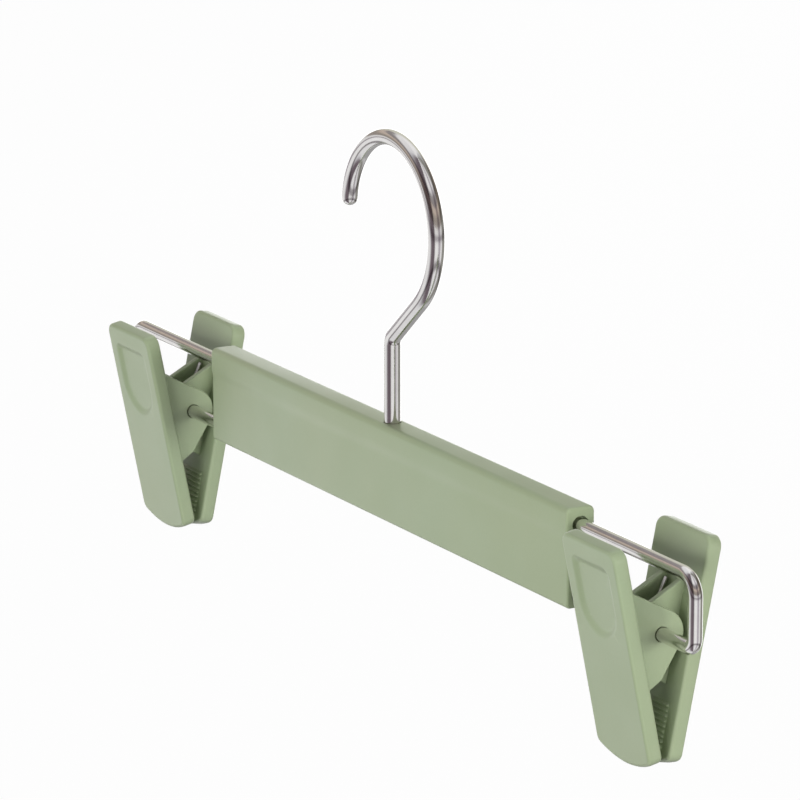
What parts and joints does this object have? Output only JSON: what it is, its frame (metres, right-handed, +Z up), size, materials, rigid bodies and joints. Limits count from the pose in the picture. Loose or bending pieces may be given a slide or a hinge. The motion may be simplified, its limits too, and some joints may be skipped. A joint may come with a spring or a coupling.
{
  "type": "skirt hanger",
  "caption": "Skirt hanger: a moulded plastic bar on a swivelling wire hook, with a sprung plastic clip that slides on a bent wire at each end.",
  "frame": {"origin": "the point inside the top of the hook that rests on the rail", "axes": "+X along the bar, towards the right clip in the picture; +Y along the rail, away from the viewer's side; +Z up"},
  "size_m": [0.3, 0.0318, 0.1355],
  "materials": {
    "sage_plastic": "satin moulded plastic",
    "chrome_wire": "bright plated wire",
    "spring_steel": "bare spring steel"
  },
  "bodies": {
    "hook": {"hook": "chrome_wire", "hook_retaining_ring": "spring_steel"},
    "hanger": {"bar": "sage_plastic", "left_clip_wire": "chrome_wire", "right_clip_wire": "chrome_wire"},
    "left_slider": {"left_spring": "spring_steel"},
    "left_front": {"left_front_jaw": "sage_plastic"},
    "left_back": {"left_back_jaw": "sage_plastic"},
    "right_slider": {"right_spring": "spring_steel"},
    "right_front": {"right_front_jaw": "sage_plastic"},
    "right_back": {"right_back_jaw": "sage_plastic"}
  },
  "joints": [
    {"name": "hook_swivel", "type": "hinge", "parent": "hook", "child": "hanger", "pos_m": [0, 0, -0.0734], "axis": [0, 0, 1], "continuous": true},
    {"name": "left_clip_slide", "type": "slide", "parent": "hanger", "child": "left_slider", "axis": [-1, 0, 0], "range_m": [-0.0159, 0.011]},
    {"name": "left_front_jaw_pivot", "type": "hinge", "parent": "left_slider", "child": "left_front", "pos_m": [-0.1236, 0, -0.0962], "axis": [-1, 0, 0], "range_deg": [0, 22], "stiffness_Nm_per_rad": 0.25, "springref_deg": -34.38, "deforming": ["left_spring"]},
    {"name": "left_back_jaw_pivot", "type": "hinge", "parent": "left_slider", "child": "left_back", "pos_m": [-0.1236, 0, -0.0962], "axis": [1, 0, 0], "range_deg": [0, 22], "stiffness_Nm_per_rad": 0.25, "springref_deg": -34.38},
    {"name": "right_clip_slide", "type": "slide", "parent": "hanger", "child": "right_slider", "axis": [1, 0, 0], "range_m": [-0.0159, 0.011]},
    {"name": "right_front_jaw_pivot", "type": "hinge", "parent": "right_slider", "child": "right_front", "pos_m": [0.1236, 0, -0.0962], "axis": [-1, 0, 0], "range_deg": [0, 22], "stiffness_Nm_per_rad": 0.25, "springref_deg": -34.38, "deforming": ["right_spring"]},
    {"name": "right_back_jaw_pivot", "type": "hinge", "parent": "right_slider", "child": "right_back", "pos_m": [0.1236, 0, -0.0962], "axis": [1, 0, 0], "range_deg": [0, 22], "stiffness_Nm_per_rad": 0.25, "springref_deg": -34.38}
  ],
  "couplings": [
    {"joint": "left_back_jaw_pivot", "follows": "left_front_jaw_pivot", "ratio": 1},
    {"joint": "right_back_jaw_pivot", "follows": "right_front_jaw_pivot", "ratio": 1}
  ]
}
